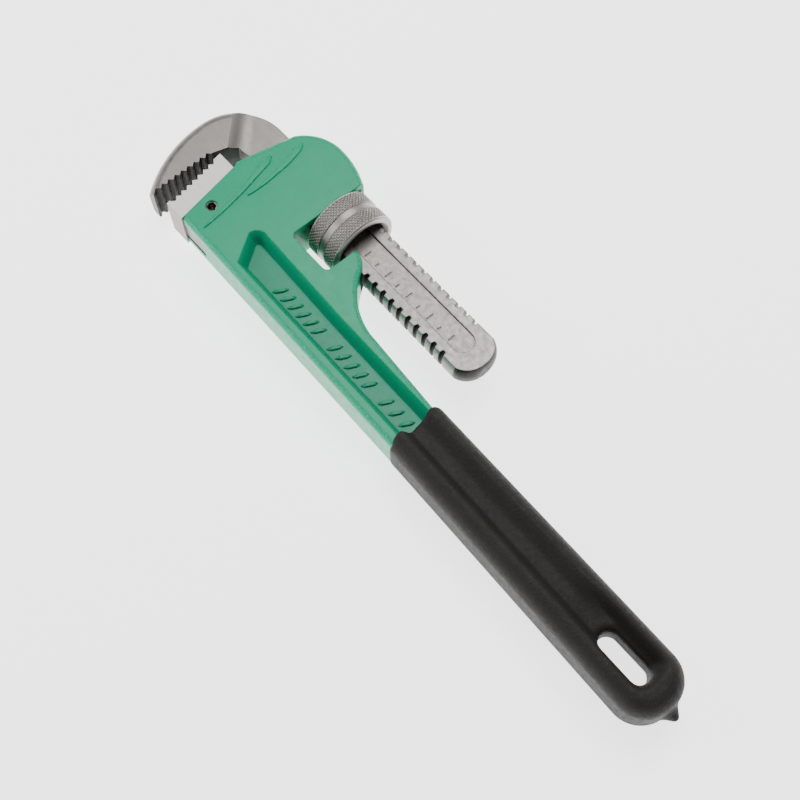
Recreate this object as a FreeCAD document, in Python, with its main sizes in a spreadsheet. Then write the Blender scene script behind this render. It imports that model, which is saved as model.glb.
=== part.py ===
import FreeCAD, Part
import Sketcher
import math
import os

# A 14-inch pattern pipe wrench lying on its side.
# Working frame of every body: X runs along the threaded shank of the hook jaw, from the jaws
# (negative) to the hanging hole (positive), Y runs across the tool, away from the handle, and
# Z is its thickness. The zero point is the middle of the adjusting nut. Each body's Placement
# moves that frame so that the whole tool stands centred on the world origin, at Z = 0.

SIZES = {
    # casting
    "cast_thickness": 19.0,
    "cast_edge_round": 2.4,
    "handle_far_side": 50.0,
    "handle_width": 22.0,
    "handle_end": 220.0,
    "handle_end_width": 23.6,
    "web_thickness": 7.0,
    "flange_wall": 4.0,
    "pocket_draft": 27.0,
    "recess_corner": 6.0,
    "recess_start": 4.0,
    "recess_lip": 1.4,
    "recess_point": 3.0,
    "recess_bend": 20.0,
    "recess_rise": 1.6,
    "recess_round": 5.0,
    "recess_taper": 1.0,
    "end_rim": 6.5,
    "end_corner": 8.0,
    "end_flare": 2.6,
    # head of the casting
    "head_lip": 8.0,
    "leaf_room": 3.7,
    "seat_depth": 46.0,
    "seat_tilt": 10.5,
    "seat_lead": 1.0,
    "seat_step": 3.4,
    "seat_margin": 4.0,
    "crown_set_in": 5.5,
    "crown_drop": 10.8,
    "crown_reach": 24.0,
    "shoulder_drop": 4.5,
    "shoulder_bridge": 3.0,
    # ear that guides the shank
    "ear_reach": 44.0,
    "ear_side": 6.0,
    "ear_lip": 6.0,
    "ear_back": 8.0,
    "ear_back_side": 10.5,
    "ear_radius": 9.0,
    "throat_radius": 34.0,
    "throat_rise": 2.0,
    "neck_dip": 0.5,
    # window and passages for the shank
    "window_gap_above": 1.8,
    "window_gap_below": 3.2,
    "window_gap_side": 5.8,
    "window_corner": 2.4,
    "passage_wall": 6.2,
    "shank_clearance": 1.3,
    # hook jaw
    "jaw_gap": 8.3,
    "hook_breadth": 17.0,
    "hook_overhang": 2.0,
    "hook_thickness": 18.0,
    "hook_edge_round": 4.6,
    "hook_crown": 15.0,
    "tip_set_in": 3.0,
    "tip_drop": 0.6,
    "hook_root": 21.0,
    "hook_bevel": 3.3,
    "hook_bevel_side": 1.5,
    "hook_shoulder": 10.0,
    "hook_first_tooth": 2.4,
    "hollow_start": 13.4,
    "hollow_side": 4.7,
    "hollow_radius": 12.0,
    "shank_radius": 11.1,
    "shank_thickness": 10.0,
    "shank_end": 82.7,
    "shank_nose": 7.0,
    "shank_nose_radius": 9.5,
    "shank_nose_flat": 3.0,
    "neck_width": 18.0,
    "neck_length": 20.0,
    "thread_pitch": 5.08,
    "thread_depth": 1.5,
    "thread_gap": 0.2,
    "thread_stop": 12.0,
    "channel_width": 9.8,
    "channel_depth": 0.8,
    "channel_start": 36.0,
    "channel_stop": 8.7,
    "scale_start": 5.0,
    "scale_step": 6.35,
    "scale_stroke": 0.5,
    "scale_depth": 0.3,
    "scale_margin": 1.0,
    "scale_long": 3.4,
    "scale_short": 2.0,
    "tooth_pitch": 3.27,
    # heel jaw
    "heel_height": 9.2,
    "heel_top_side": 19.2,
    "heel_overhang": 0.6,
    "heel_gap": 0.2,
    "tongue_thickness": 9.0,
    "tongue_depth": 13.0,
    "tongue_gap": 0.15,
    "heel_rise": 0.6,
    "heel_first_tooth": 3.4,
    "pin_radius": 2.5,
    "pin_wall": 0.7,
    "pin_seam": 0.6,
    "pin_set_in": 0.5,
    "pin_depth": 3.2,
    "pin_rise": 13.1,
    # nut
    "nut_wall": 4.9,
    "nut_length": 17.6,
    "nut_rim": 0.9,
    "nut_band": 3.4,
    "nut_band_depth": 0.5,
    "nut_mouth_room": 2.2,
    "nut_mouth_slope": 0.6,
    # springs
    "coil_radius": 3.2,
    "coil_wire": 1.1,
    "coil_pitch": 1.9,
    "coil_bore": 5.0,
    "coil_bore_depth": 7.0,
    "coil_place": 32.0,
    "coil_gap": 0.1,
    "leaf_thickness": 0.8,
    "leaf_width": 8.0,
    "leaf_bow": 20.0,
    "leaf_heel": 4.5,
    "leaf_toe": 3.5,
    "leaf_gap": 0.2,
    "rivet_radius": 1.5,
    "rivet_head": 2.8,
    "rivet_head_height": 0.9,
    "rivet_set_in": 1.7,
    "rivet_place": 18.5,
    # grip
    "grip_start": 84.0,
    "grip_coat": 2.0,
    "grip_valley": 4.4,
    "grip_end_coat": 2.6,
    "grip_corner": 11.0,
    "grip_flare": 2.8,
    "valley_inset": 1.2,
    "valley_taper": 1.4,
    "valley_rim": 1.0,
    "nub_length": 4.4,
    "nub_radius": 2.2,
    "nub_root": 1.6,
    "slot_inset": 20.8,
    "slot_length": 22.6,
    "slot_radius": 4.3,
}

doc = FreeCAD.newDocument("pipe_wrench")
sheet = doc.addObject("Spreadsheet::Sheet", "Sizes")
for row, (alias, number) in enumerate(SIZES.items(), start=1):
    sheet.set(f"A{row}", alias)
    sheet.set(f"B{row}", str(number))
    sheet.setAlias(f"B{row}", alias)
doc.recompute()


class Size:
    """A length that knows its number and the sheet expression that gives it."""

    def __init__(self, number, text):
        self.number = number
        self.text = text

    def joined(self, other, sign, number):
        text = other.text if isinstance(other, Size) else repr(float(other))
        return Size(number, f"({self.text} {sign} {text})")

    def __add__(self, other):
        return self.joined(other, "+", self.number + plain(other))

    def __sub__(self, other):
        return self.joined(other, "-", self.number - plain(other))

    def __mul__(self, other):
        return self.joined(other, "*", self.number * plain(other))

    def __truediv__(self, other):
        return self.joined(other, "/", self.number / plain(other))

    def __neg__(self):
        return Size(-self.number, f"(0 - {self.text})")


def plain(value):
    """The number in a Size or in a bare number."""
    return value.number if isinstance(value, Size) else float(value)


class Sizes:
    """Hands out the sheet's cells by name."""

    def __getattr__(self, name):
        return Size(SIZES[name], f"Sizes.{name}")


def sized(value):
    """A Size as it is, or a bare number in the form that the helpers below take."""
    return value if isinstance(value, Size) else Size(float(value), repr(float(value)))


def bind(item, prop, value):
    """Tie a property to the sheet."""
    item.setExpression(prop, sized(value).text)


S = Sizes()
V = FreeCAD.Vector
# how far a cut runs past the surface it opens, and how deep a pad starts inside its neighbour
OVER = 1.0
# longer than any piece cut at once
LONG = 80.0
XY, XZ, YZ = "XY_Plane", "XZ_Plane", "YZ_Plane"

# casting
HALF_CAST = S.cast_thickness / 2
FAR_SIDE = -S.handle_far_side
NEAR_SIDE = FAR_SIDE + S.handle_width
NUT_RADIUS = S.shank_radius + S.nut_wall
HEAD_SHOULDER = S.shank_radius + S.leaf_room + S.passage_wall
HEAD_TOP = S.seat_depth + S.head_lip
WINDOW_ABOVE = S.nut_length / 2 + S.window_gap_above
WINDOW_BELOW = S.nut_length / 2 + S.window_gap_below
PASSAGE_TOP = HEAD_SHOULDER - S.passage_wall
PASSAGE_LOW = S.shank_radius + S.shank_clearance
PASSAGE_HALF = S.shank_thickness / 2 + S.shank_clearance
# jaws
TILT = math.tan(math.radians(SIZES["seat_tilt"]))
HEEL_LOW = FAR_SIDE - S.heel_overhang
HEEL_HIGH = -S.heel_top_side
HEEL_THICKNESS = S.cast_thickness - S.heel_gap
PIN_X = S.pin_depth - S.seat_depth
PIN_Y = HEEL_LOW + S.pin_rise
HOOK_LINE = -S.seat_depth - S.heel_height - S.jaw_gap
HOOK_BACK = HOOK_LINE - S.hook_breadth
HOOK_REACH = FAR_SIDE - S.hook_overhang
HALF_NECK = S.neck_width / 2
NECK_END = HOOK_LINE + S.neck_length
HALF_SHANK = S.shank_thickness / 2
DIAGONAL = math.sqrt(0.5)
# teeth
TOOTH_FILL = 0.96
HOOK_TEETH = int(plain(-HOOK_REACH - S.hook_root) / SIZES["tooth_pitch"])
HEEL_TEETH = int(plain(HEEL_HIGH - HEEL_LOW - S.heel_first_tooth) / SIZES["tooth_pitch"])
# thread
GROOVE_FLOOR = S.shank_radius - S.thread_depth
FLOOR_HALF = S.thread_pitch * 0.13
FLANK = 0.32
THREAD_TURNS = 20
THREAD_START = S.shank_end - S.thread_stop - S.thread_pitch * THREAD_TURNS
NUT_TURNS = 9
NUT_LEAD = 4
TICKS = 9
# springs
COIL_FLOOR = -PASSAGE_LOW - S.coil_bore_depth
# grip
GRIP_END = S.handle_end + S.grip_end_coat
SLOT_X = S.handle_end - S.slot_inset
SLOT_Y = FAR_SIDE - S.end_flare + S.handle_end_width / 2
LOW_SIDE = FAR_SIDE - S.grip_coat - S.grip_flare
# the middle of the tool's outline, which every Placement brings to the origin
MIDDLE_X = (GRIP_END + S.nub_length + HOOK_BACK) / 2
MIDDLE_Y = (HEAD_SHOULDER + LOW_SIDE) / 2


def place(item):
    """Carry the working frame to its place in the world."""
    bind(item, "Placement.Base.x", -MIDDLE_X)
    bind(item, "Placement.Base.y", -MIDDLE_Y)
    bind(item, "Placement.Base.z", NUT_RADIUS)


def new_body(label):
    body = doc.addObject("PartDesign::Body", label)
    body.Label = label
    place(body)
    return body


def plane_of(body, role):
    return [item for item in body.Origin.OriginFeatures if item.Role == role][0]


def new_sketch(body, name, role, offset=None):
    """An empty sketch on one of the body's own planes, raised by offset."""
    sketch = body.newObject("Sketcher::SketchObject", name)
    sketch.AttachmentSupport = [(plane_of(body, role), "")]
    sketch.MapMode = "FlatFace"
    if offset is not None:
        bind(sketch, "AttachmentOffset.Base.z", offset)
    return sketch


def drive(sketch, value, kind, *places):
    """Add one dimension to a sketch and tie it to the sheet."""
    index = sketch.addConstraint(Sketcher.Constraint(kind, *places, value.number))
    sketch.setExpression(f"Constraints[{index}]", value.text)


def pin_point(sketch, geometry, vertex, x, y):
    drive(sketch, x, "DistanceX", -1, 1, geometry, vertex)
    drive(sketch, y, "DistanceY", -1, 1, geometry, vertex)


def arc_between(first, last, radius):
    """The short arc between two points; its centre is to the left of travel when radius > 0."""
    chord = last - first
    left = V(-chord.y, chord.x, 0).normalize()
    rise = math.sqrt(max(radius ** 2 - (chord.Length / 2) ** 2, 0.0))
    side = 1 if radius > 0 else -1
    centre = (first + last) * 0.5 + left * (rise * side)
    ends = (first, last) if radius > 0 else (last, first)
    start, stop = (math.atan2(end.y - centre.y, end.x - centre.x) for end in ends)
    if stop < start:
        stop += 2 * math.pi
    circle = Part.Circle(centre, V(0, 0, 1), abs(radius))
    return Part.ArcOfCircle(circle, start, stop)


def outline(sketch, corners):
    """A closed outline. A corner is (x, y), or (x, y, radius) where an arc follows it."""
    corners = [tuple(sized(value) for value in corner) for corner in corners]
    points = [V(corner[0].number, corner[1].number, 0) for corner in corners]
    joints = []
    for step, corner in enumerate(corners):
        start = points[step]
        stop = points[(step + 1) % len(points)]
        if len(corner) == 2:
            index = sketch.addGeometry(Part.LineSegment(start, stop))
            joints.append((index, 1, 2))
        else:
            radius = corner[2].number
            index = sketch.addGeometry(arc_between(start, stop, radius))
            joints.append((index, 1, 2) if radius > 0 else (index, 2, 1))
    for step, (index, begin, end) in enumerate(joints):
        following, following_begin, _ = joints[(step + 1) % len(joints)]
        sketch.addConstraint(Sketcher.Constraint("Coincident", index, end, following, following_begin))
        pin_point(sketch, index, begin, corners[step][0], corners[step][1])
    for (index, _, _), corner in zip(joints, corners):
        if len(corner) == 3:
            size = corner[2] if corner[2].number > 0 else -corner[2]
            drive(sketch, size, "Radius", index)


def ring(sketch, x, y, radius):
    """A driven circle."""
    x, y, radius = sized(x), sized(y), sized(radius)
    index = sketch.addGeometry(Part.Circle(V(x.number, y.number, 0), V(0, 0, 1), radius.number))
    pin_point(sketch, index, 3, x, y)
    drive(sketch, radius, "Radius", index)


def stadium(x, y, length, radius):
    """Corners of a long hole with round ends, along X."""
    half = length / 2 - radius
    return [
        (x - half, y - radius), (x + half, y - radius, radius),
        (x + length / 2, y, radius), (x + half, y + radius),
        (x - half, y + radius, radius), (x - length / 2, y, radius),
    ]


def pad(body, name, corners, thickness, role=XY, offset=None):
    """An outline thickened equally to both sides of its plane."""
    sketch = new_sketch(body, f"{name}_outline", role, offset)
    outline(sketch, corners)
    feature = body.newObject("PartDesign::Pad", name)
    feature.Profile = sketch
    feature.SideType = "Symmetric"
    bind(feature, "Length", thickness)
    doc.recompute()
    return feature


def slot(body, name, corners, depth, role=XY, offset=None):
    """An outline cut equally to both sides of its plane."""
    sketch = new_sketch(body, f"{name}_outline", role, offset)
    outline(sketch, corners)
    feature = body.newObject("PartDesign::Pocket", name)
    feature.Profile = sketch
    feature.SideType = "Symmetric"
    bind(feature, "Length", depth)
    doc.recompute()
    return feature


def drill(body, name, kind, low, size, turn=None):
    """A box (size = three lengths) or a cylinder (size = radius, height) taken out of a body."""
    feature = body.newObject(f"PartDesign::{kind}", name)
    props = ("Length", "Width", "Height") if kind.endswith("Box") else ("Radius", "Height")
    for prop, value in zip(props, size):
        bind(feature, prop, value)
    if turn is not None:
        feature.Placement = FreeCAD.Placement(V(0, 0, 0), turn)
    for axis, value in zip("xyz", low):
        bind(feature, f"Placement.Base.{axis}", value)
    doc.recompute()
    return feature


def edge_names(shape, wanted):
    return [f"Edge{number}" for number, edge in enumerate(shape.Edges, start=1) if wanted(edge)]


def round_edges(body, name, wanted, radius):
    """Round the edges of the body's last feature that pass the test."""
    base = body.Tip
    feature = body.newObject("PartDesign::Fillet", name)
    feature.Base = (base, edge_names(base.Shape, wanted))
    bind(feature, "Radius", radius)
    doc.recompute()
    return feature


def lies_at(edge, level):
    """True for an edge that lies flat at plus or minus one height."""
    box = edge.BoundBox
    return box.ZLength < 0.01 and abs(abs(box.ZMin) - level) < 0.01


def seat_x(y):
    """The line that the heel jaw sits on, which leans away from square."""
    return -S.seat_depth + (y - HEEL_LOW) * -TILT


def across_x(name, body, radius, low_y, high_y, x, z=None):
    """A round hole along Y."""
    turn = FreeCAD.Rotation(V(1, 0, 0), -90)
    low = (sized(x), sized(low_y), sized(z or 0))
    return drill(body, name, "SubtractiveCylinder", low, (radius, sized(high_y) - low_y), turn)


def level_arc(run, rise):
    """The radius of an arc that is level at one end and covers a run and a rise."""
    return (run * run + rise * rise) / (rise * 2)


def casting_outline():
    """Head, handle and the ear that guides the shank, seen from the front."""
    end = S.handle_end
    corner = S.end_corner
    end_far = FAR_SIDE - S.end_flare
    end_near = end_far + S.handle_end_width
    shoulder = HEAD_SHOULDER - S.shoulder_drop
    seat_top = HEEL_HIGH + S.seat_lead
    return [
        (seat_x(HEEL_LOW), FAR_SIDE),
        (end - corner, end_far, corner),
        (end, end_far + corner),
        (end, end_near - corner, corner),
        (end - corner, end_near),
        (S.grip_start, NEAR_SIDE - S.neck_dip),
        (S.ear_reach, NEAR_SIDE + S.throat_rise, -S.throat_radius),
        (WINDOW_BELOW + S.ear_back, -S.ear_back_side, S.ear_radius),
        (WINDOW_BELOW, -S.ear_side),
        (WINDOW_BELOW - S.ear_lip, -S.ear_side),
        (-WINDOW_ABOVE + S.shoulder_bridge, shoulder),
        (-WINDOW_ABOVE, shoulder, level_arc(HEAD_TOP - S.crown_reach - WINDOW_ABOVE, S.shoulder_drop)),
        (S.crown_reach - HEAD_TOP, HEAD_SHOULDER, level_arc(S.crown_reach - S.crown_set_in, S.crown_drop)),
        (-HEAD_TOP + S.crown_set_in, HEAD_SHOULDER - S.crown_drop),
        (-HEAD_TOP, HEEL_HIGH + S.seat_step),
        (seat_x(seat_top), seat_top),
    ]


def recess_outline():
    """The hollow of the I-beam, from the head to the rim beyond the hanging slot."""
    far = FAR_SIDE + S.flange_wall
    near = NEAR_SIDE - S.flange_wall + S.recess_lip
    start = -WINDOW_ABOVE - S.recess_start
    end = S.handle_end - S.end_rim
    end_far = far - S.recess_lip
    end_near = near - S.recess_taper
    corner = S.recess_corner
    return [
        (start, far),
        (end - corner, end_far, corner),
        (end, end_far + corner),
        (end, end_near - corner, corner),
        (end - corner, end_near),
        (WINDOW_BELOW + S.recess_bend, near),
        (start - S.recess_point, near + S.recess_rise, S.recess_round),
        (start - S.recess_point - S.recess_round, near + S.recess_rise - S.recess_round),
    ]


def make_casting():
    body = new_body("handle_frame")
    pad(body, "casting", casting_outline(), S.cast_thickness)

    def off_the_seat(edge):
        """The ground seat and its step stay sharp."""
        box = edge.BoundBox
        seat_end = plain(seat_x(HEEL_HIGH + S.seat_lead))
        beside_seat = box.XMin < seat_end + 0.01 and box.YMax < plain(HEEL_HIGH + S.seat_step) + 0.01
        return lies_at(edge, plain(HALF_CAST)) and (not beside_seat or box.XLength > 20)

    round_edges(body, "casting_rounds", off_the_seat, S.cast_edge_round)
    recess = (S.cast_thickness - S.web_thickness) / 2
    for face, flip in (("front", 1), ("back", -1)):
        sketch = new_sketch(body, f"{face}_recess_outline", XY, HALF_CAST * flip)
        outline(sketch, recess_outline())
        hollow = body.newObject("PartDesign::Pocket", f"{face}_recess")
        hollow.Profile = sketch
        hollow.Reversed = flip < 0
        bind(hollow, "Length", recess)
        bind(hollow, "TaperAngle", -S.pocket_draft)
        doc.recompute()
    corner = S.window_corner
    window_side = NUT_RADIUS + S.window_gap_side
    window = [
        (-WINDOW_ABOVE + corner, -window_side),
        (WINDOW_BELOW - corner, -window_side, corner),
        (WINDOW_BELOW, -window_side + corner), (WINDOW_BELOW, HEAD_SHOULDER + OVER),
        (-WINDOW_ABOVE, HEAD_SHOULDER + OVER),
        (-WINDOW_ABOVE, -window_side + corner, corner),
    ]
    slot(body, "nut_window", window, S.cast_thickness + OVER * 2)
    drill(body, "shank_passage", "SubtractiveBox",
          (-HEAD_TOP - OVER, -PASSAGE_LOW, -PASSAGE_HALF),
          (HEAD_TOP + OVER, PASSAGE_TOP + PASSAGE_LOW, PASSAGE_HALF * 2))
    drill(body, "shank_guide", "SubtractiveBox",
          (WINDOW_BELOW - OVER, -PASSAGE_LOW, -PASSAGE_HALF),
          (S.ear_reach, PASSAGE_LOW * 2, PASSAGE_HALF * 2))
    make_seat(body)
    half = HALF_CAST + OVER
    drill(body, "pin_hole", "SubtractiveCylinder",
          (PIN_X, PIN_Y, -half), (S.pin_radius, half * 2))
    across_x("coil_bore", body, S.coil_bore, -PASSAGE_LOW - S.coil_bore_depth,
             -PASSAGE_LOW + OVER, -S.coil_place)
    across_x("rivet_hole", body, S.rivet_radius, PASSAGE_TOP - OVER,
             HEAD_SHOULDER + OVER, -S.rivet_place)
    slot(body, "hanging_hole", stadium(SLOT_X, SLOT_Y, S.slot_length + S.grip_coat * 2,
                                       S.slot_radius + S.grip_coat), S.cast_thickness + OVER * 2)
    return body


def make_seat(body):
    """The slot between the two cheeks that takes the heel jaw's tongue."""
    low = HEEL_LOW - S.seat_margin
    high = HEEL_HIGH + S.tongue_gap
    depth = S.tongue_depth + S.tongue_gap
    corners = [
        (seat_x(low) - S.seat_margin, low), (seat_x(low) + depth, low),
        (seat_x(high) + depth, high), (seat_x(high) - S.seat_margin, high),
    ]
    slot(body, "heel_slot", corners, S.tongue_thickness + S.tongue_gap * 2)


def notches(body, name, first_x, first_y, count, lean, depth, thickness):
    """A row of square-cut teeth: right-angled notches along a line that leans from the Y axis."""
    pitch = plain(S.tooth_pitch)
    along = V(-math.sin(math.radians(lean)), math.cos(math.radians(lean)), 0)
    inward = V(along.y, -along.x, 0) * (1 if depth > 0 else -1)
    half = pitch / 2
    outside = inward * -(pitch * 2)
    corners = []
    for number in range(count):
        middle = V(first_x, first_y, 0) + along * (pitch * number)
        corners.append(middle - along * half)
        corners.append(middle + inward * (half * TOOTH_FILL))
    corners.append(middle + along * half)
    corners.append(middle + along * half + outside)
    corners.append(V(first_x, first_y, 0) - along * half + outside)
    slot(body, name, [(point.x, point.y) for point in corners], thickness)


def thread_groove(body, name, radius_low, radius_high, half_low, half_high, start, length):
    """A helical groove about the X axis; the two half widths are at its two radii."""
    sketch = new_sketch(body, f"{name}_profile", XY)
    outline(sketch, [
        (start - half_low, radius_low), (start + half_low, radius_low),
        (start + half_high, radius_high), (start - half_high, radius_high),
    ])
    feature = body.newObject("PartDesign::SubtractiveHelix", name)
    feature.Profile = sketch
    feature.ReferenceAxis = (sketch, ["H_Axis"])
    feature.Mode = 0
    bind(feature, "Pitch", S.thread_pitch)
    bind(feature, "Height", length)
    doc.recompute()
    return feature


def mirror_faces(body, name, features):
    """Repeat features on the back face."""
    feature = body.newObject("PartDesign::Mirrored", name)
    feature.Originals = features
    feature.MirrorPlane = (plane_of(body, XY), [""])
    body.Tip = feature
    doc.recompute()
    return feature


def turned(body, name, kind, corners):
    """An outline in the XY plane swung right round the X axis."""
    sketch = new_sketch(body, f"{name}_profile", XY)
    outline(sketch, corners)
    feature = body.newObject(f"PartDesign::{kind}", name)
    feature.Profile = sketch
    feature.ReferenceAxis = (sketch, ["H_Axis"])
    feature.Angle = 360
    doc.recompute()
    return feature


def face_pocket(body, name, outlines, level, depth):
    """Shallow pockets in the front face at one level."""
    sketch = new_sketch(body, f"{name}_outline", XY, level)
    for corners in outlines:
        outline(sketch, corners)
    feature = body.newObject("PartDesign::Pocket", name)
    feature.Profile = sketch
    bind(feature, "Length", depth)
    doc.recompute()
    return feature


def truncated_circle():
    """The shank's section, a circle with two flats, as (across, thickness) corners."""
    half = plain(HALF_SHANK)
    edge = Size(
        math.sqrt(SIZES["shank_radius"] ** 2 - half ** 2),
        f"sqrt({S.shank_radius.text} ^ 2 - {HALF_SHANK.text} ^ 2)",
    )
    return [
        (-edge, -HALF_SHANK), (edge, -HALF_SHANK, S.shank_radius),
        (edge, HALF_SHANK), (-edge, HALF_SHANK, S.shank_radius),
    ]


def scale_ticks():
    """Long and short strokes across the channel, a quarter inch apart."""
    strokes = []
    low = -S.channel_width / 2 + S.scale_margin
    for number in range(TICKS):
        start = S.nut_length / 2 + S.scale_start + S.scale_step * number
        stop = start + S.scale_stroke
        high = low + (S.scale_short if number % 2 else S.scale_long)
        strokes.append([(start, low), (stop, low), (stop, high), (start, high)])
    return strokes


def make_hook():
    body = new_body("hook_jaw")
    bend = HALF_NECK + S.hook_crown
    tip_x = HOOK_LINE - S.tip_set_in
    tip_y = HOOK_REACH - S.tip_drop
    across = tip_x - HOOK_BACK
    along = -S.hook_crown - tip_y
    sweep = (along * along / across + across) / 2
    pad(body, "hook", [
        (HOOK_LINE, HOOK_REACH), (tip_x, tip_y, -sweep), (HOOK_BACK, -S.hook_crown, -bend),
        (HOOK_BACK + bend, HALF_NECK), (NECK_END, HALF_NECK), (NECK_END, -HALF_NECK),
        (HOOK_LINE + S.hook_shoulder, -HALF_NECK),
        (HOOK_LINE + S.hook_bevel, -HALF_NECK - S.hook_bevel_side), (HOOK_LINE, -S.hook_root),
    ], S.hook_thickness)

    def outer_curve(edge):
        """The long outer curves of the hook, front and back."""
        return lies_at(edge, SIZES["hook_thickness"] / 2) and isinstance(edge.Curve, Part.Circle)

    round_edges(body, "hook_rounds", outer_curve, S.hook_edge_round)
    back_off = S.neck_width * DIAGONAL
    corner_x = HOOK_LINE + S.hollow_start + back_off
    corner_y = -HALF_NECK - S.hollow_side - back_off
    turn = FreeCAD.Rotation(V(0, 0, 1), 45)
    flat = drill(body, "flat", "SubtractiveBox", (corner_x, corner_y, HALF_SHANK),
                 (LONG, LONG, S.hook_thickness), turn)
    mirror_faces(body, "back_flat", [flat])
    lying = turn.multiply(FreeCAD.Rotation(V(1, 0, 0), -90))
    hollow = drill(body, "hollow", "SubtractiveCylinder",
                   (corner_x, corner_y, HALF_SHANK + S.hollow_radius), (S.hollow_radius, LONG), lying)
    mirror_faces(body, "back_hollow", [hollow])
    notches(body, "teeth", plain(HOOK_LINE), plain(HOOK_REACH + S.hook_first_tooth), HOOK_TEETH, 0, -1,
            S.hook_thickness + OVER * 2)
    section = new_sketch(body, "shank_section", YZ, NECK_END - OVER)
    outline(section, truncated_circle())
    shank = body.newObject("PartDesign::Pad", "shank")
    shank.Profile = section
    bind(shank, "Length", S.shank_end - NECK_END + OVER)
    doc.recompute()
    nose = S.shank_end - S.shank_nose
    turned(body, "turned_end", "Groove", [
        (nose, S.shank_radius, -S.shank_nose_radius), (S.shank_end, S.shank_nose_flat),
        (S.shank_end + OVER, S.shank_nose_flat), (S.shank_end + OVER, S.shank_radius + OVER),
        (nose, S.shank_radius + OVER),
    ])
    half_channel = S.channel_width / 2
    channel_start = HOOK_LINE + S.channel_start
    channel_end = S.shank_end - S.channel_stop
    channel_bend = channel_end - half_channel
    channel = face_pocket(body, "channel", [[
        (channel_start, -half_channel), (channel_bend, -half_channel, half_channel),
        (channel_end, sized(0), half_channel), (channel_bend, half_channel),
        (channel_start, half_channel),
    ]], HALF_SHANK, S.channel_depth)
    mirror_faces(body, "back_channel", [channel])
    face_pocket(body, "scale", scale_ticks(), HALF_SHANK - S.channel_depth, S.scale_depth)
    thread_groove(body, "thread", GROOVE_FLOOR, S.shank_radius + OVER,
                  FLOOR_HALF, FLOOR_HALF + (S.thread_depth + OVER) * FLANK,
                  THREAD_START, S.thread_pitch * THREAD_TURNS)
    return body


def make_heel_jaw():
    body = new_body("heel_jaw")
    low = HEEL_LOW
    high = HEEL_HIGH
    top = S.heel_height
    pad(body, "block", [
        (seat_x(low), low), (seat_x(high), high), (seat_x(high) - top, high),
        (seat_x(low) - top - S.heel_rise, low),
    ], HEEL_THICKNESS)
    first_y = low + S.heel_first_tooth
    notches(body, "teeth", plain(seat_x(first_y) - top), plain(first_y), HEEL_TEETH,
            plain(S.seat_tilt), 1, HEEL_THICKNESS + OVER * 2)
    depth = S.tongue_depth
    tongue_low = low + OVER
    tongue_high = high - S.tongue_gap
    pad(body, "tongue", [
        (seat_x(tongue_low) - OVER, tongue_low), (seat_x(tongue_low) + depth, tongue_low),
        (seat_x(tongue_high) + depth, tongue_high), (seat_x(tongue_high) - OVER, tongue_high),
    ], S.tongue_thickness)
    half = S.tongue_thickness / 2 + OVER
    drill(body, "pin_hole", "SubtractiveCylinder",
          (PIN_X, PIN_Y, -half), (S.pin_radius, half * 2))
    return body


def make_pin():
    """A rolled spring pin with its open seam."""
    body = new_body("heel_jaw_pin")
    half = HALF_CAST - S.pin_set_in
    sketch = new_sketch(body, "pin_section", XY, -half)
    ring(sketch, PIN_X, PIN_Y, S.pin_radius)
    ring(sketch, PIN_X, PIN_Y, S.pin_radius - S.pin_wall)
    tube = body.newObject("PartDesign::Pad", "tube")
    tube.Profile = sketch
    bind(tube, "Length", half * 2)
    doc.recompute()
    drill(body, "seam", "SubtractiveBox",
          (PIN_X, PIN_Y - S.pin_seam / 2, -half - OVER),
          (S.pin_radius + OVER, S.pin_seam, (half + OVER) * 2))
    return body


def make_nut():
    body = new_body("adjusting_nut")
    half = S.nut_length / 2
    rim = S.nut_rim
    bore = GROOVE_FLOOR + S.thread_gap
    mouth_radius = S.shank_radius + S.nut_mouth_room
    band = S.nut_band / 2
    waist = NUT_RADIUS - S.nut_band_depth
    mouth = (mouth_radius - bore) * S.nut_mouth_slope
    turned(body, "blank", "Revolution", [
        (-half + mouth, bore), (half - mouth, bore), (half, mouth_radius),
        (half, NUT_RADIUS - rim), (half - rim, NUT_RADIUS), (band, NUT_RADIUS),
        (band, waist), (-band, waist), (-band, NUT_RADIUS), (-half + rim, NUT_RADIUS),
        (-half, NUT_RADIUS - rim), (-half, mouth_radius),
    ])
    gap = S.thread_gap
    half_pitch = S.thread_pitch / 2
    low_half = half_pitch - FLOOR_HALF + gap + (gap + OVER) * FLANK
    deep = S.thread_depth + gap * 1.5
    thread_groove(body, "thread", bore - OVER, bore + deep, low_half, low_half - (deep + OVER) * FLANK,
                  THREAD_START - half_pitch + S.thread_pitch * NUT_LEAD, S.thread_pitch * NUT_TURNS)
    return body


def make_coil_spring():
    """The spring that pushes the shank away from the handle side of its passage."""
    body = new_body("coil_spring")
    sketch = new_sketch(body, "wire", XY)
    bind(sketch, "AttachmentOffset.Base.x", -S.coil_place)
    bind(sketch, "AttachmentOffset.Base.y", COIL_FLOOR + S.coil_wire / 2 + S.coil_gap)
    ring(sketch, S.coil_radius, 0, S.coil_wire / 2)
    coil = body.newObject("PartDesign::AdditiveHelix", "coil")
    coil.Profile = sketch
    coil.ReferenceAxis = (sketch, ["V_Axis"])
    coil.Mode = 0
    bind(coil, "Pitch", S.coil_pitch)
    bind(coil, "Height", -S.shank_radius - COIL_FLOOR - S.coil_wire - S.coil_gap * 2)
    doc.recompute()
    return body


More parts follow.
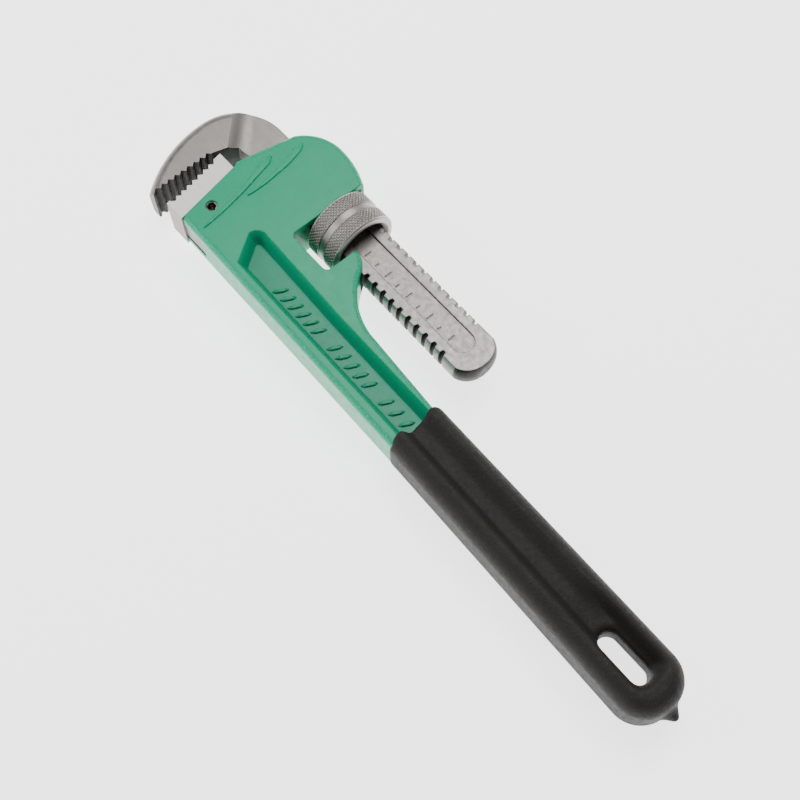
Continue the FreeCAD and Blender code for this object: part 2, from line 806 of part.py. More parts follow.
def make_leaf_spring():
    """A bowed strip riveted inside the passage, facing the coil spring."""
    body = new_body("leaf_spring")
    wall = PASSAGE_TOP
    under = wall - S.leaf_thickness
    sag = under - S.shank_radius - S.leaf_gap
    half = S.leaf_bow / 2
    bend = (half * half / sag + sag) / 2
    toe = -S.rivet_place + S.leaf_toe
    first = -S.rivet_place - S.leaf_heel
    last = first - S.leaf_bow
    pad(body, "strip", [
        (last, under, bend), (first, under), (toe, under), (toe, wall),
        (first, wall, -(bend + S.leaf_thickness)), (last, wall),
    ], S.leaf_width)
    across_x("rivet_hole", body, S.rivet_radius, under - OVER, wall + OVER, -S.rivet_place)
    return body


def make_rivet():
    body = new_body("spring_rivet")
    under = PASSAGE_TOP - S.leaf_thickness
    for name, radius, low, high in (
        ("head", S.rivet_head, under - S.rivet_head_height, under),
        ("stem", S.rivet_radius, under - S.rivet_head_height / 2, HEAD_SHOULDER - S.rivet_set_in),
    ):
        part = body.newObject("PartDesign::AdditiveCylinder", name)
        bind(part, "Radius", radius)
        bind(part, "Height", high - low)
        part.Placement = FreeCAD.Placement(V(0, 0, 0), FreeCAD.Rotation(V(1, 0, 0), -90))
        for axis, value in zip("xyz", (-S.rivet_place, low, sized(0))):
            bind(part, f"Placement.Base.{axis}", value)
        doc.recompute()
    return body


def make_grip(casting):
    """The dipped sleeve; the casting is taken out of it last."""
    body = new_body("grip_sleeve")
    far = FAR_SIDE - S.grip_coat
    near = NEAR_SIDE + S.grip_coat
    thickness = S.cast_thickness + S.grip_coat * 2
    end_near = FAR_SIDE - S.end_flare + S.handle_end_width + S.grip_coat
    turn = S.grip_corner
    pad(body, "sleeve", [
        (S.grip_start, far), (GRIP_END - turn, LOW_SIDE, turn), (GRIP_END, LOW_SIDE + turn),
        (GRIP_END, end_near - turn, turn), (GRIP_END - turn, end_near), (S.grip_start, near),
    ], thickness)

    def long_edge(edge):
        return lies_at(edge, plain(thickness / 2)) and edge.BoundBox.XMax > SIZES["grip_start"] + OVER

    round_edges(body, "sleeve_rounds", long_edge, S.grip_coat * 2)
    valley_far = FAR_SIDE + S.flange_wall + S.valley_inset
    valley_near = NEAR_SIDE - S.flange_wall + S.valley_inset / 3
    end_far = valley_far - S.valley_taper
    end_near = valley_near - S.recess_taper
    start = S.grip_start - OVER
    end = S.handle_end - S.end_rim - S.valley_rim
    corner = S.recess_corner - S.valley_rim
    valley = face_pocket(body, "valley", [[
        (start, valley_far), (end - corner, end_far, corner), (end, end_far + corner),
        (end, end_near - corner, corner), (end - corner, end_near), (start, valley_near),
    ]], thickness / 2, S.grip_valley)
    mirror_faces(body, "back_valley", [valley])
    nub = body.newObject("PartDesign::AdditiveEllipsoid", "drip_nub")
    bind(nub, "Radius1", S.nub_radius)
    bind(nub, "Radius2", S.nub_length + S.nub_root)
    bind(nub, "Radius3", S.nub_radius)
    for axis, value in zip("xyz", (GRIP_END - S.nub_root, SLOT_Y, sized(0))):
        bind(nub, f"Placement.Base.{axis}", value)
    doc.recompute()
    slot(body, "hanging_slot", stadium(SLOT_X, SLOT_Y, S.slot_length, S.slot_radius),
         thickness + OVER * 2)
    sleeve = doc.addObject("Part::Cut", "handle_grip")
    sleeve.Base = body
    sleeve.Tool = casting
    sleeve.Label = "handle_grip"
    doc.recompute()
    return sleeve


def export(parts):
    """Refuse a broken document, then write one STEP file for each sub-part."""
    doc.recompute()
    for item in doc.Objects:
        if {"Invalid", "Error"} & set(item.State):
            raise RuntimeError(f"{item.Name} did not build: {item.getStatusString()}")
    os.makedirs("parts", exist_ok=True)
    for part in parts:
        if part.Shape.isNull() or not part.Shape.isValid() or len(part.Shape.Solids) != 1:
            raise RuntimeError(f"{part.Label} is not one sound solid")
    for part in parts:
        part.Shape.exportStep(f"parts/{part.Label}.step")


casting = make_casting()
export([
    casting, make_hook(), make_heel_jaw(), make_pin(), make_nut(), make_coil_spring(),
    make_leaf_spring(), make_rivet(), make_grip(casting),
])
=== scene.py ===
"""A pipe wrench lying on a pale floor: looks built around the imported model, all in metres."""
import math

import bpy
import numpy as np
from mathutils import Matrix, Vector


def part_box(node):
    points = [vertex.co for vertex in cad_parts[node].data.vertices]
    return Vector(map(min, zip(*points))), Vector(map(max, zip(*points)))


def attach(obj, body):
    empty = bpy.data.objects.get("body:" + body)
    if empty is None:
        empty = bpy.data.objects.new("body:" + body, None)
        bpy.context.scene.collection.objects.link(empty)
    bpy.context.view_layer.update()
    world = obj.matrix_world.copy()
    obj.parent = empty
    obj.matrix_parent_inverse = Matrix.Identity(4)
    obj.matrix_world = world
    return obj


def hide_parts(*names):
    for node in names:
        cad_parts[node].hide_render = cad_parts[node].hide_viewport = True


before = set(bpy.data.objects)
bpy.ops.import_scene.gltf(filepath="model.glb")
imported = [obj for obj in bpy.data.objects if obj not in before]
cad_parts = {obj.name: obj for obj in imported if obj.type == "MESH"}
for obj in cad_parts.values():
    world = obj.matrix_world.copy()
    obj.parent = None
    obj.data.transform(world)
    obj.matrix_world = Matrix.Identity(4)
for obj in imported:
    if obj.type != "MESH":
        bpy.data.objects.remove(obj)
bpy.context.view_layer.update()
MM = 0.001

nut_low, nut_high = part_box("adjusting_nut")
NUT_CENTRE = (nut_low + nut_high) / 2
grip_low, grip_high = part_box("handle_grip")
_, cast_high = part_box("handle_frame")
MIDDLE_Z = NUT_CENTRE.z
THREADS_BEGIN = NUT_CENTRE.x - 36 * MM


# ---------------------------------------------------------------- materials

class Shader:
    """A material under construction: one Principled shader and the nodes that feed it."""

    def __init__(self, name, **values):
        self.material = bpy.data.materials.new(name)
        self.material.use_nodes = True
        self.tree = self.material.node_tree
        self.bsdf = self.tree.nodes["Principled BSDF"]
        for socket, value in values.items():
            self.bsdf.inputs[socket.replace("_", " ")].default_value = value
        self.place = self.add("ShaderNodeTexCoord").outputs["Object"]

    def add(self, kind, inputs=None, **settings):
        node = self.tree.nodes.new(kind)
        for key, value in settings.items():
            setattr(node, key, value)
        for key, value in (inputs or {}).items():
            if isinstance(value, bpy.types.NodeSocket):
                self.tree.links.new(value, node.inputs[key])
            else:
                node.inputs[key].default_value = value
        return node

    def feed(self, socket, output):
        self.tree.links.new(output, self.bsdf.inputs[socket])

    def stretched(self, scale):
        """Object coordinates scaled along each axis, for a grain with a direction."""
        return self.add("ShaderNodeMapping", {"Vector": self.place, "Scale": scale}).outputs[0]

    def noise(self, size, detail=3.0, roughness=0.55, vector=None):
        """Noise whose blotches are about size metres across."""
        inputs = {"Vector": vector or self.place, "Scale": 1 / size, "Detail": detail,
                  "Roughness": roughness}
        return self.add("ShaderNodeTexNoise", inputs).outputs["Fac"]

    def ranged(self, value, low, high, to_low=0.0, to_high=1.0):
        inputs = {"Value": value, "From Min": low, "From Max": high,
                  "To Min": to_low, "To Max": to_high}
        return self.add("ShaderNodeMapRange", inputs).outputs[0]

    def maths(self, operation, first, second=0.0):
        return self.add("ShaderNodeMath", {0: first, 1: second}, operation=operation).outputs[0]

    def tint(self, factor, first, second):
        """One colour turning into another."""
        node = self.add("ShaderNodeMix", {0: factor}, data_type="RGBA")
        for index, colour in ((6, first), (7, second)):
            if isinstance(colour, bpy.types.NodeSocket):
                self.tree.links.new(colour, node.inputs[index])
            else:
                node.inputs[index].default_value = (*colour, 1.0)
        return node.outputs[2]

    def axis(self, vector, name):
        return self.add("ShaderNodeSeparateXYZ", {0: vector}).outputs[name]

    def facing(self, name):
        """One component of the surface's direction."""
        return self.axis(self.add("ShaderNodeNewGeometry").outputs["Normal"], name)

    def flatness(self):
        """1 on faces that lie level, 0 on walls."""
        return self.maths("ABSOLUTE", self.facing("Z"))

    def level(self):
        """Height above or below the tool's middle plane."""
        return self.maths("ABSOLUTE", self.maths("SUBTRACT", self.axis(self.place, "Z"), MIDDLE_Z))

    def radius(self):
        """Distance from the threaded shank's axis."""
        shifted = self.add("ShaderNodeVectorMath", {0: self.place, 1: NUT_CENTRE},
                           operation="SUBTRACT").outputs[0]
        flat = self.add("ShaderNodeVectorMath", {0: shifted, 1: (0, 1, 1)},
                        operation="MULTIPLY").outputs[0]
        return self.add("ShaderNodeVectorMath", {0: flat}, operation="LENGTH").outputs["Value"]

    def relief(self, *layers, edge=0.0):
        """Bumps, each (height output, strength, depth in metres), over rounded sharp edges."""
        below = None
        if edge:
            below = self.add("ShaderNodeBevel", {"Radius": edge}, samples=4).outputs[0]
        for height, strength, depth in layers:
            inputs = {"Height": height, "Strength": strength, "Distance": depth}
            if below is not None:
                inputs["Normal"] = below
            below = self.add("ShaderNodeBump", inputs).outputs[0]
        self.feed("Normal", below)


def green_enamel():
    """Glossy enamel over rough cast iron, whose grain shows through on the rounded edges, with
    painted glints on those edges and painted shade in the pockets.
    """
    shader = Shader("green_enamel", Specular_IOR_Level=0.22, Coat_Weight=0.06, Coat_Roughness=0.15)
    flat = shader.flatness()
    rounded = shader.maths("MULTIPLY", shader.ranged(flat, 0.5, 0.72),
                           shader.ranged(flat, 0.995, 0.93))
    # Painted shade: the green darkens near the middle plane, down in the pockets where shade falls.
    painted_pocket_shade = shader.ranged(shader.level(), 8.5 * MM, 6.0 * MM)
    blotches = shader.noise(14 * MM, 2.0)
    colour = shader.tint(blotches, (0.0, 0.365, 0.180), (0.0, 0.410, 0.205))
    colour = shader.tint(shader.maths("MULTIPLY", painted_pocket_shade, 0.75), colour, (0.0, 0.270, 0.152))
    # Painted glints: pale specks on the rounded edges stand in for light sparkling on the cast
    # iron's grain.
    glint_specks = shader.ranged(shader.noise(0.5 * MM, 1.0), 0.62, 0.7)
    light = shader.maths("MULTIPLY", shader.maths("MULTIPLY", rounded, glint_specks), 0.55)
    colour = shader.tint(light, colour, (0.30, 0.80, 0.60))
    shader.feed("Base Color", colour)
    shader.feed("Roughness", shader.ranged(shader.noise(3 * MM), 0.3, 0.7, 0.24, 0.4))
    orange_peel = shader.noise(2.4 * MM, 2.0)
    grain = shader.maths("MULTIPLY", shader.noise(0.8 * MM, 2.0),
                         shader.maths("ADD", shader.maths("MULTIPLY", rounded, 0.9), 0.12))
    shader.relief((orange_peel, 0.25, 0.12 * MM), (grain, 0.8, 0.35 * MM), edge=1.0 * MM)
    return shader.material


def forged_steel():
    """Forged steel: ground flats, a darker rounded outer band, a grainy channel, and painted shade
    and dark reflection on the teeth and in the thread grooves.
    """
    shader = Shader("forged_steel", Metallic=0.85)
    flat = shader.flatness()
    band = shader.ranged(flat, 0.995, 0.75)
    colour = shader.tint(shader.noise(5 * MM, 3.0), (0.26, 0.245, 0.23), (0.33, 0.31, 0.29))
    strokes = shader.noise(1.0, 3.0, 0.7, shader.stretched((90, 1900, 90)))
    colour = shader.tint(shader.ranged(strokes, 0.55, 0.75, 0.0, 0.35), colour, (0.52, 0.495, 0.46))
    colour = shader.tint(shader.maths("MULTIPLY", band, 0.7), colour, (0.26, 0.235, 0.22))
    specks = shader.ranged(shader.noise(0.55 * MM, 2.0), 0.60, 0.72)
    colour = shader.tint(shader.maths("MULTIPLY", specks, 0.30), colour, (0.20, 0.185, 0.17))
    walls = shader.ranged(flat, 0.6, 0.4)
    along = shader.axis(shader.place, "X")
    threaded = shader.ranged(along, THREADS_BEGIN - 1 * MM, THREADS_BEGIN)
    # Painted shade and dark reflection: thread grooves and walls turned towards the heel jaw go
    # near black.
    groove = shader.maths("MULTIPLY", shader.ranged(shader.radius(), 11.0 * MM, 10.6 * MM),
                          shader.maths("MULTIPLY", walls, threaded))
    dark_reflection_towards_heel = shader.maths("MULTIPLY", shader.ranged(shader.facing("X"), 0.1, 0.35), walls)
    painted_shade_and_dark_reflection = shader.maths("MAXIMUM", groove, dark_reflection_towards_heel)
    colour = shader.tint(shader.maths("MULTIPLY", painted_shade_and_dark_reflection, 0.95), colour, (0.008, 0.007, 0.007))
    shader.feed("Base Color", colour)
    shader.feed("Roughness", shader.ranged(shader.noise(2 * MM), 0.3, 0.7, 0.36, 0.52))
    channel = shader.maths("MULTIPLY", shader.ranged(shader.level(), 4.5 * MM, 4.3 * MM), flat)
    grain = shader.maths("MULTIPLY", shader.noise(0.7 * MM, 3.0),
                         shader.maths("ADD", shader.maths("MULTIPLY", channel, 0.9), 0.25))
    shader.relief((strokes, 0.2, 0.05 * MM), (grain, 0.5, 0.2 * MM), edge=0.8 * MM)
    return shader.material


def ground_steel():
    """A pale surface-ground insert with fine parallel lines."""
    shader = Shader("ground_steel", Metallic=0.1)
    lines = shader.noise(1.0, 3.0, 0.65, shader.stretched((70, 2600, 300)))
    # Painted shade: the walls are a dark pinkish grey where the ground face is pale, for the weaker
    # light on the sides.
    front = shader.ranged(shader.flatness(), 0.4, 0.8)
    face = shader.tint(shader.ranged(lines, 0.3, 0.7), (0.86, 0.83, 0.75), (0.98, 0.96, 0.90))
    side = shader.tint(shader.noise(1.5 * MM), (0.22, 0.18, 0.165), (0.36, 0.31, 0.285))
    shader.feed("Base Color", shader.tint(front, side, face))
    shader.feed("Roughness", shader.ranged(lines, 0.2, 0.8, 0.38, 0.55))
    shader.relief((lines, 0.35, 0.06 * MM), edge=0.15 * MM)
    return shader.material


def nut_steel():
    """Bright turned steel, with painted shade in the knurl's valleys and in the bore, and painted
    highlight on the knurl's tips.
    """
    shader = Shader("nut_steel", Metallic=0.95)
    away = shader.radius()
    # Painted shade and highlight: near black in the knurl's valleys, bright on its tips.
    knurl_light_and_shade = shader.ranged(away, 15.45 * MM, 15.95 * MM)
    colour = shader.tint(knurl_light_and_shade, (0.09, 0.08, 0.07), (0.74, 0.71, 0.67))
    bore = shader.ranged(away, 12.6 * MM, 11.2 * MM)
    turning = shader.noise(1.0, 2.0, 0.6, shader.stretched((2400, 120, 120)))
    smooth = shader.maths("MULTIPLY", shader.ranged(away, 15.56 * MM, 15.50 * MM),
                          shader.ranged(away, 13.0 * MM, 13.6 * MM))
    plain_face = shader.tint(turning, (0.30, 0.285, 0.27), (0.40, 0.38, 0.36))
    colour = shader.tint(smooth, colour, plain_face)
    # Painted shade: the steel goes near black inside the bore.
    colour = shader.tint(shader.maths("MULTIPLY", bore, 0.85), colour, (0.03, 0.027, 0.025))
    shader.feed("Base Color", colour)
    shader.feed("Roughness", shader.ranged(shader.noise(1.2 * MM), 0.3, 0.7, 0.36, 0.5))
    shader.relief((turning, 0.25, 0.04 * MM), edge=0.12 * MM)
    return shader.material


def spring_steel():
    """Oiled spring steel, worn brighter in patches."""
    shader = Shader("spring_steel", Metallic=0.9)
    worn = shader.ranged(shader.noise(1.2 * MM, 3.0), 0.45, 0.65)
    shader.feed("Base Color", shader.tint(worn, (0.07, 0.062, 0.058), (0.34, 0.27, 0.245)))
    shader.feed("Roughness", shader.ranged(worn, 0.0, 1.0, 0.55, 0.38))
    shader.relief((shader.noise(0.4 * MM), 0.3, 0.05 * MM), edge=0.1 * MM)
    return shader.material


def black_vinyl():
    """Dipped vinyl with a fine leathery grain and a little dust."""
    shader = Shader("black_vinyl", Specular_IOR_Level=0.22)
    blotches = shader.noise(9 * MM, 3.0)
    colour = shader.tint(blotches, (0.017, 0.0155, 0.015), (0.027, 0.025, 0.024))
    dust = shader.ranged(shader.noise(0.35 * MM, 1.0), 0.70, 0.76)
    colour = shader.tint(shader.maths("MULTIPLY", dust, 0.25), colour, (0.20, 0.19, 0.18))
    shader.feed("Base Color", colour)
    shader.feed("Roughness", shader.ranged(shader.noise(2 * MM), 0.3, 0.7, 0.52, 0.68))
    cells = shader.add("ShaderNodeTexVoronoi", {"Vector": shader.place, "Scale": 1 / (0.8 * MM)},
                       feature="SMOOTH_F1").outputs["Distance"]
    shader.relief((cells, 0.6, 0.20 * MM), (shader.noise(0.5 * MM), 0.6, 0.16 * MM))
    return shader.material


def floor_paper():
    """Seamless white paper, lit from within so that shadows stay faint."""
    shader = Shader("floor_paper", Roughness=0.9, Emission_Color=(1, 1, 1, 1),
                    Emission_Strength=2.4)
    fibres = shader.noise(20 * MM, 2.0)
    shader.feed("Base Color", shader.tint(fibres, (0.93, 0.93, 0.93), (0.95, 0.95, 0.95)))
    return shader.material


MATERIALS = {
    "green_enamel": green_enamel(),
    "forged_steel": forged_steel(),
    "ground_steel": ground_steel(),
    "nut_steel": nut_steel(),
    "spring_steel": spring_steel(),
    "black_vinyl": black_vinyl(),
}


def finish_piece(piece, slot, body=None, *replaced):
    """Give a piece its material and, when it is new, its body, its slot and what it stands for."""
    piece.data.materials.clear()
    piece.data.materials.append(MATERIALS[slot])
    if body:
        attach(piece, body)
    if replaced:
        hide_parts(*replaced)
    return piece


def mesh_piece(name, points, faces, sharp=math.radians(35)):
    """A new mesh object from arrays, smooth except where its faces meet at more than sharp."""
    mesh = bpy.data.meshes.new(name)
    mesh.from_pydata([tuple(point) for point in points], [], [tuple(face) for face in faces])
    mesh.validate()
    mesh.shade_smooth()
    mesh.set_sharp_from_angle(angle=sharp)
    piece = bpy.data.objects.new(name, mesh)
    bpy.context.scene.collection.objects.link(piece)
    return piece


# ---------------------------------------------------------------- adjusting nut

KNURLS = 60
STEPS_PER_KNURL = 8
KNURL_DEPTH = 0.6 * MM
KNURL_ROWS = 34
BORE_ROWS = 62
NUT_RADIUS = (nut_high.z - nut_low.z) / 2
NUT_HALF = (nut_high.x - nut_low.x) / 2
NUT_RIM = 0.9 * MM
NUT_WAIST = 1.7 * MM
NUT_WAIST_DEPTH = 0.5 * MM
NUT_MOUTH = 13.3 * MM
NUT_BORE = 9.8 * MM
NUT_BORE_DEPTH = 2.1 * MM
THREAD_PITCH = 5.08 * MM
THREAD_DEPTH = 1.8 * MM
THREAD_HALF = 2.14 * MM
THREAD_FLANK = 0.32
THREAD_PHASE = 2.12 * MM


def saw(turns):
    """A triangle wave from 0 to 1, once every turn."""
    return np.abs(turns - np.floor(turns) - 0.5) * 2


def knurl(angle, along):
    """The height of a diamond knurl: pyramids between two crossing sets of grooves."""
    around = angle * KNURLS / (2 * math.pi)
    shift = along * KNURLS / (2 * math.pi * NUT_RADIUS)
    return 1 - np.maximum(saw(around + shift), saw(around - shift)) ** 1.3


def nut_thread(angle, along):
    """The bore's radius where a right-hand thread is cut into it."""
    offset = along - THREAD_PHASE - THREAD_PITCH * angle / (2 * math.pi)
    nearest = np.abs(offset - THREAD_PITCH * np.round(offset / THREAD_PITCH))
    return NUT_BORE + np.clip((THREAD_HALF - nearest) / THREAD_FLANK, 0, THREAD_DEPTH)


def nut_profile():
    """The outside of one half as (distance from the middle, radius); None marks the knurl."""
    rim = NUT_HALF - NUT_RIM
    groove = NUT_RADIUS - NUT_WAIST_DEPTH
    face = [(NUT_HALF, NUT_MOUTH), (NUT_HALF, NUT_MOUTH + 0.5 * MM),
            (NUT_HALF, NUT_RADIUS - NUT_RIM - 0.2 * MM),
            (NUT_HALF - 0.1 * MM, NUT_RADIUS - NUT_RIM)]
    bevel = [(rim + 0.1 * MM, NUT_RADIUS - 0.25 * MM), (rim - 0.15 * MM, NUT_RADIUS - 0.12 * MM)]
    band = [(along, None) for along in
            np.linspace(rim - 0.35 * MM, NUT_WAIST + 0.25 * MM, KNURL_ROWS)]
    waist = [(NUT_WAIST + 0.08 * MM, NUT_RADIUS - 0.15 * MM), (NUT_WAIST, groove - 0.1 * MM),
             (NUT_WAIST - 0.3 * MM, groove - 0.1 * MM), (NUT_WAIST - 0.4 * MM, groove)]
    return face + bevel + band + waist


def make_nut():
    """A ring of rows swept about the shank's axis: the outside, then back through the bore."""
    count = KNURLS * STEPS_PER_KNURL
    angle = np.arange(count) * 2 * math.pi / count
    rows = []

    def row(along, radius):
        radius = np.broadcast_to(radius, angle.shape)
        across, up = radius * np.cos(angle), radius * np.sin(angle)
        rows.append(np.column_stack([np.full(count, along), across, up]))

    for side in (-1, 1):
        for along, radius in nut_profile()[::-side]:
            if radius is None:
                radius = NUT_RADIUS - KNURL_DEPTH * (1 - knurl(angle, along * side))
            row(along * side, radius)
    for along in np.linspace(NUT_HALF - 0.3 * MM, -NUT_HALF + 0.3 * MM, BORE_ROWS):
        cone = NUT_MOUTH - (NUT_HALF - abs(along)) * (NUT_MOUTH - NUT_BORE) / NUT_BORE_DEPTH
        row(along, np.maximum(nut_thread(angle, along), cone))
    points = np.concatenate(rows) + np.array(NUT_CENTRE)
    grid = np.arange(len(rows) * count).reshape(len(rows), count)
    after, beyond = np.roll(grid, -1, axis=0), np.roll(grid, -1, axis=1)
    faces = np.stack([grid, beyond, np.roll(after, -1, axis=1), after], axis=-1).reshape(-1, 4)
    nut = mesh_piece("knurled_nut", points, faces, math.radians(28))
    return finish_piece(nut, "nut_steel", "nut", "adjusting_nut")


# ---------------------------------------------------------------- dipped grip

GRIP_CELL = 0.5 * MM
GRIP_CORNER = 13 * MM
GRIP_ROUND = 6.5 * MM
GRIP_HALF = (grip_high.z - grip_low.z) / 2
NUB_LENGTH = 4.4 * MM
SLOT_CENTRE = Vector((0.12595, -0.0239))
SLOT_HALF = 11.3 * MM
SLOT_RADIUS = 4.3 * MM
GRIP_FLARE = 2.8 * MM
GRIP_NARROWING = 1.0 * MM
FLARE_END = 0.91
VALLEY_DEPTH = 3.4 * MM
SLOT_VALLEY_EXTRA = 1.9 * MM
LIP_WAVE = 0.25 * MM
NUB_RADIUS = 3.2 * MM
NUB_ROOT = 3.0 * MM
NUB_STRETCH = 0.46


def soft_max(first, second, blend):
    """The larger of two fields, rounded over where they cross."""
    share = np.clip(0.5 + 0.5 * (first - second) / blend, 0, 1)
    return second * (1 - share) + first * share + blend * share * (1 - share)


def ease(value, start, stop):
    t = np.clip((value - start) / (stop - start), 0, 1)
    return t * t * (3 - 2 * t)


def grip_field(x, y, z):
    """Negative inside the sleeve: a rounded bar with two lobes, a valley, a slot and a drip."""
    end = grip_high.x - NUB_LENGTH
    start = grip_low.x
    share = np.clip((x - start) / (end - start) / FLARE_END, 0, 1)
    far = grip_low.y + GRIP_FLARE * (1 - share)
    near = grip_high.y - GRIP_NARROWING * share
    middle, half = (far + near) / 2, (near - far) / 2
    across = np.maximum(np.abs(y - middle) - half + GRIP_CORNER, 0)
    beyond = np.maximum(x - end + GRIP_CORNER, 0)
    plan = np.hypot(across, beyond) - GRIP_CORNER
    inner = np.minimum(np.maximum(np.abs(y - middle) - half, x - end), 0)
    plan = np.where(np.hypot(across, beyond) > 0, plan, inner)
    place = (y - far) / (near - far)
    by_slot = ease(x, SLOT_CENTRE.x - 32 * MM, SLOT_CENTRE.x - 12 * MM)
    slot_end = SLOT_CENTRE.x + SLOT_HALF
    closing = 1 - ease(x, slot_end - 3.5 * MM, slot_end + 3.2 * MM)
    narrow = ease(place, 0.25, 0.42) * (1 - ease(place, 0.56, 0.84))
    wide = ease(place, 0.25, 0.43) * (1 - ease(place, 0.70, 0.86))
    dip = (narrow * (1 - by_slot) + wide * by_slot) * closing
    valley = dip * (VALLEY_DEPTH + SLOT_VALLEY_EXTRA * by_slot)
    height = np.abs(z) - GRIP_HALF + valley
    body = np.hypot(np.maximum(plan + GRIP_ROUND, 0), np.maximum(height + GRIP_ROUND, 0))
    body += np.minimum(np.maximum(plan + GRIP_ROUND, height + GRIP_ROUND), 0) - GRIP_ROUND
    along = np.maximum(np.abs(x - SLOT_CENTRE.x) - SLOT_HALF + SLOT_RADIUS, 0)
    slot = np.hypot(along, y - SLOT_CENTRE.y) - SLOT_RADIUS
    body = soft_max(body, -slot, 3.6 * MM)
    edge = np.clip((np.abs(y - middle) - half) / (5 * MM) + 1, 0, 1)
    lip = start + 1.6 * MM * dip + 1.2 * MM * edge ** 2 + LIP_WAVE * np.sin(place * 19)
    body = soft_max(body, lip - x, 1.5 * MM)
    drip = np.hypot(np.hypot(y - SLOT_CENTRE.y, z), (x - end + NUB_ROOT) * NUB_STRETCH) - NUB_RADIUS
    return -soft_max(-body, -drip, 3.0 * MM)


def surface_net(field, low, high, cell):
    """Points and quads on the zero surface of a field, one point in each cell that it crosses."""
    axes = [np.arange(a - 2 * cell, b + 3 * cell, cell) for a, b in zip(low, high)]
    value = field(*np.meshgrid(*axes, indexing="ij"))
    shape = tuple(n - 1 for n in value.shape)
    total, count = np.zeros((*shape, 3)), np.zeros(shape)
    corner = [(i, j, k) for i in (0, 1) for j in (0, 1) for k in (0, 1)]
    pick = lambda c: value[c[0]:c[0] + shape[0], c[1]:c[1] + shape[1], c[2]:c[2] + shape[2]]
    for first in corner:
        for axis in range(3):
            if first[axis]:
                continue
            second = tuple(1 if n == axis else first[n] for n in range(3))
            a, b = pick(first), pick(second)
            crossed = (a < 0) != (b < 0)
            step = np.where(crossed, a / np.where(crossed, a - b, 1), 0)
            for n in range(3):
                total[..., n] += crossed * (first[n] + (step if n == axis else 0))
            count += crossed
    used = count > 0
    number = np.full(shape, -1)
    number[used] = np.arange(used.sum())
    where = np.argwhere(used) + total[used] / count[used][:, None]
    points = np.array([axes[n][0] for n in range(3)]) + where * cell
    faces = []
    for axis in range(3):
        u, v = [n for n in range(3) if n != axis]
        a = value[tuple(slice(1, -1) if n != axis else slice(0, -1) for n in range(3))]
        b = value[tuple(slice(1, -1) if n != axis else slice(1, None) for n in range(3))]
        at = np.argwhere((a < 0) != (b < 0))
        into = (a < 0)[tuple(at.T)]
        base = at.copy()
        base[:, u] += 1
        base[:, v] += 1
        ring = []
        for du, dv in ((0, 0), (1, 0), (1, 1), (0, 1)):
            spot = base.copy()
            spot[:, u] -= du
            spot[:, v] -= dv
            ring.append(number[tuple(spot.T)])
        quads = np.stack(ring, axis=1)
        turn = into if axis != 1 else ~into
        faces.append(np.where(turn[:, None], quads, quads[:, ::-1]))
    return points, np.concatenate(faces)


def make_grip():
    low = Vector((grip_low.x, grip_low.y, -GRIP_HALF))
    high = Vector((grip_high.x, grip_high.y, GRIP_HALF))
    points, faces = surface_net(grip_field, low, high, GRIP_CELL)
    points[:, 2] += MIDDLE_Z
    points = np.clip(points, np.array(grip_low), np.array(grip_high))
    grip = mesh_piece("dipped_grip", points, faces, math.pi)
    return finish_piece(grip, "black_vinyl", "frame", "handle_grip")


# ---------------------------------------------------------------- raised marks on the casting

RIDGE_BEND = 9
RIDGE_SINK = 0.15 * MM
RIDGE_FLAT = 1.7


def ridge(name, path, widths, height, side):
    """A low flat-topped ridge along a path of (x, y, z), from one width to another."""
    path = np.array(path)
    lengths = np.concatenate([[0], np.cumsum(np.linalg.norm(np.diff(path, axis=0), axis=1))])
    count = max(8, int(lengths[-1] / (0.5 * MM)))
    along = np.linspace(0, lengths[-1], count)
    line = np.column_stack([np.interp(along, lengths, path[:, n]) for n in range(3)])
    heading = np.gradient(line[:, :2], axis=0)
    heading /= np.linalg.norm(heading, axis=1)[:, None]
    width = np.interp(along, [0, lengths[-1]], widths)
    taper = np.clip(np.minimum(along, lengths[-1] - along) / width, 0.05, 1) ** 0.5
    points = []
    for spot, (run, rise), size, wide in zip(line, heading, taper, width):
        for angle in np.linspace(0, math.pi, RIDGE_BEND):
            out = math.cos(angle) * wide / 2 * size
            lift = (min(1.0, math.sin(angle) * RIDGE_FLAT) * height * size - RIDGE_SINK) * side
            points.append((spot[0] - rise * out, spot[1] + run * out, spot[2] + lift))
    faces = []
    for row in range(count - 1):
        for column in range(RIDGE_BEND):
            a = row * RIDGE_BEND + column
            b = row * RIDGE_BEND + (column + 1) % RIDGE_BEND
            faces.append((a, b, b + RIDGE_BEND, a + RIDGE_BEND))
    first = list(range(RIDGE_BEND))
    last = [(count - 1) * RIDGE_BEND + column for column in range(RIDGE_BEND)]
    faces += [first[::-1], last]
    if side < 0:
        faces = [face[::-1] for face in faces]
    piece = mesh_piece(name, points, faces, math.radians(60))
    return finish_piece(piece, "green_enamel", "frame")


# These outlines are in millimetres from the middle of the nut; y runs away from the handle.
HEAD_RIBS = {
    "outer": ((-36.5, -46.6), (-37.9, -36.0), (-40.4, -24.0), (-45.9, -4.0)),
    "inner": ((-37.0, -23.5), (-37.3, -14.0), (-38.9, -2.0), (-42.3, 10.0)),
}
FACE_HALF = cast_high.z - MIDDLE_Z
RIB_WIDTHS = (1.2 * MM, 4.0 * MM)
RIB_HEIGHT = 0.8 * MM
WEB_HALF = 3.5 * MM
WEB_BARS = ((4.0, 28.0, 6), (38.0, 59.0, 5), (69.0, 81.0, 3))
BAR_LOW = -42.4
BAR_HIGH = -36.4
BAR_LEAN = 1.6
BAR_WIDTHS = (1.8 * MM, 1.8 * MM)
BAR_HEIGHT = 1.0 * MM


def on_casting(x, y, height):
    """A point of the casting in the frame, from its millimetres and its height over the middle."""
    return NUT_CENTRE.x + x * MM, NUT_CENTRE.y + y * MM, MIDDLE_Z + height


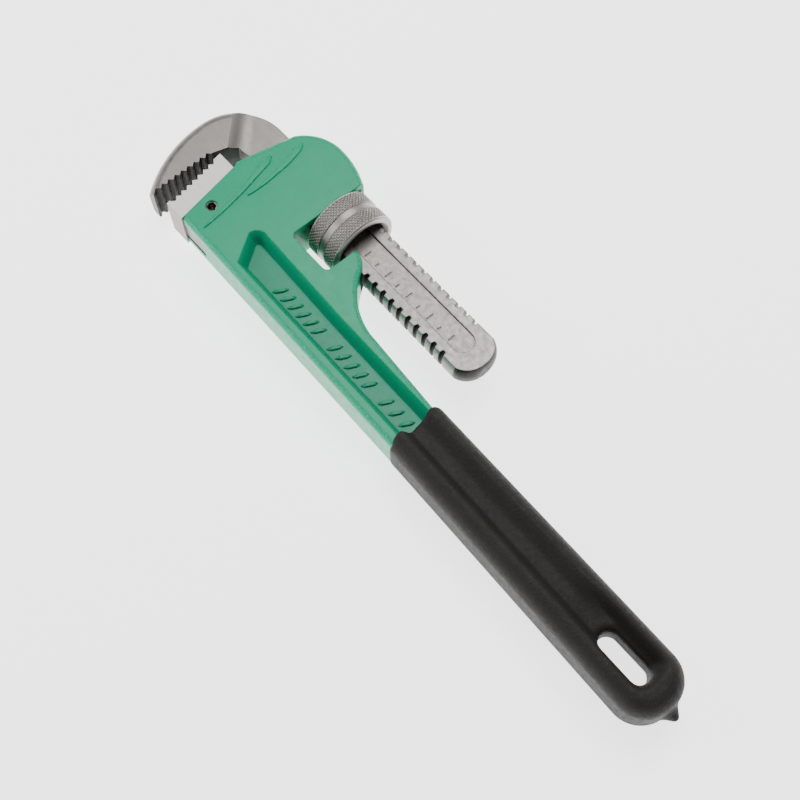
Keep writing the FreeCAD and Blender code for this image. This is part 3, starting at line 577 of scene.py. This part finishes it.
def make_ribs():
    """Two cast ribs on each face of the head, and rows of plain bars along the web."""
    for face, side in (("front", 1), ("back", -1)):
        for name, path in HEAD_RIBS.items():
            spots = [on_casting(x, y, side * FACE_HALF) for x, y in path]
            ridge(f"{face}_rib_{name}", spots, RIB_WIDTHS, RIB_HEIGHT, side)
        for group, (first, last, count) in enumerate(WEB_BARS, start=1):
            for number, x in enumerate(np.linspace(first, last, count), start=1):
                spots = [on_casting(x - BAR_LEAN, BAR_LOW, side * WEB_HALF),
                         on_casting(x + BAR_LEAN, BAR_HIGH, side * WEB_HALF)]
                ridge(f"{face}_bar_{group}_{number}", spots, BAR_WIDTHS, BAR_HEIGHT, side)


make_ribs()
make_nut()
make_grip()
for node, slot in (("handle_frame", "green_enamel"), ("hook_jaw", "forged_steel"),
                   ("heel_jaw", "ground_steel"), ("heel_jaw_pin", "spring_steel"),
                   ("coil_spring", "spring_steel"), ("leaf_spring", "spring_steel"),
                   ("spring_rivet", "spring_steel")):
    finish_piece(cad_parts[node], slot)


# ---------------------------------------------------------------- floor, light and camera

def make_floor():
    size = 6.0
    points = [(-size, -size, 0), (size, -size, 0), (size, size, 0), (-size, size, 0)]
    floor = mesh_piece("floor", points, [(0, 1, 2, 3)])
    floor.data.materials.append(floor_paper())


def area_light(name, place, size, power):
    """A soft box aimed at the middle of the tool."""
    light = bpy.data.lights.new(name, "AREA")
    light.shape = "DISK"
    light.size = size
    light.energy = power
    lamp = bpy.data.objects.new(name, light)
    lamp.location = place
    lamp.rotation_euler = (Vector((0, 0, 0)) - Vector(place)).to_track_quat("-Z", "Y").to_euler()
    bpy.context.scene.collection.objects.link(lamp)


def make_world():
    """A studio with pale walls all round and a dim ceiling."""
    world = bpy.data.worlds.new("studio")
    world.use_nodes = True
    nodes, links = world.node_tree.nodes, world.node_tree.links
    nodes["Background"].inputs["Color"].default_value = (0.9, 0.9, 0.9, 1.0)
    place = nodes.new("ShaderNodeTexCoord")
    height = nodes.new("ShaderNodeSeparateXYZ")
    links.new(place.outputs["Generated"], height.inputs[0])
    fall = nodes.new("ShaderNodeMapRange")
    wall_to_ceiling = {"From Min": 0.15, "From Max": 0.55, "To Min": 1.2, "To Max": 0.05}
    for socket, value in wall_to_ceiling.items():
        fall.inputs[socket].default_value = value
    links.new(height.outputs["Z"], fall.inputs["Value"])
    links.new(fall.outputs[0], nodes["Background"].inputs["Strength"])
    bpy.context.scene.world = world


def make_camera():
    camera = bpy.data.cameras.new("camera")
    camera.lens = 58.05
    camera.sensor_width = 36.0
    camera.clip_start = 0.01
    eye = bpy.data.objects.new("camera", camera)
    eye.location = (0.15685, -0.1504, 0.4708)
    eye.rotation_euler = [math.radians(turn) for turn in (24.6, 0.4, 49.2)]
    bpy.context.scene.collection.objects.link(eye)
    bpy.context.scene.camera = eye


make_floor()
make_world()
area_light("overhead", (-0.25, 0.35, 1.1), 0.9, 12.0)
area_light("left", (-0.6, -0.5, 0.55), 0.5, 3.0)
make_camera()
